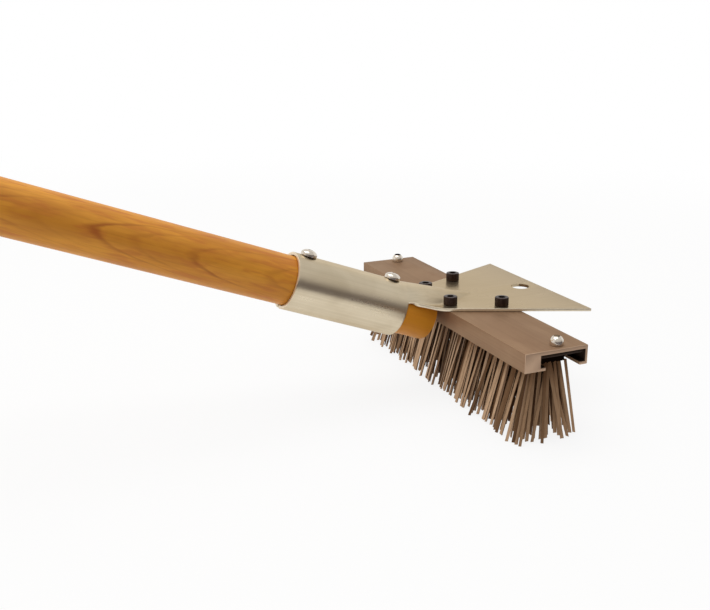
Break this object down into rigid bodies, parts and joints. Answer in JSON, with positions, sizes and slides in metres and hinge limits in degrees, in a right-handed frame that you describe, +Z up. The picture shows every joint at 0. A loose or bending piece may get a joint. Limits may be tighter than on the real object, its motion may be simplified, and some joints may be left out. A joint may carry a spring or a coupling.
{
  "type": "wire scrub brush",
  "caption": "Long-handled stiff wire scrub brush with a sheet-metal scraper bracket and a sliding bristle refill in a bolted channel.",
  "frame": {"origin": "under the middle of the whole brush, level with the longest bristle tips", "axes": "+X from the handle to the scraper edge, +Y along the brush channel, +Z up from the bristle tips to the scraper plate"},
  "size_m": [0.618, 0.254, 0.2633],
  "materials": {
    "handle_wood": "satin",
    "bracket_sheet": "satin",
    "channel_aluminium": "satin",
    "black_screw": "satin",
    "bright_screw": "polished",
    "strip_steel": "satin",
    "wire_steel": "satin"
  },
  "bodies": {
    "frame": {"brush_channel": "channel_aluminium", "scraper_bracket": "bracket_sheet", "handle": "handle_wood", "cap_screw_rear_near": "black_screw", "cap_screw_rear_far": "black_screw", "cap_screw_front_near": "black_screw", "cap_screw_front_far": "black_screw", "end_screw_near": "bright_screw", "end_screw_far": "bright_screw", "handle_screw_lower": "bright_screw", "handle_screw_upper": "bright_screw"},
    "refill": {"refill_strip": "strip_steel", "bristle_block_1": "wire_steel", "bristle_block_2": "wire_steel", "bristle_block_3": "wire_steel", "bristle_block_4": "wire_steel", "bristle_block_5": "wire_steel", "bristle_block_6": "wire_steel", "bristle_block_7": "wire_steel", "bristle_block_8": "wire_steel"}
  },
  "joints": [
    {"name": "refill_slide", "type": "slide", "parent": "frame", "child": "refill", "axis": [0, 1, 0], "range_m": [-0.24, 0.24]}
  ]
}
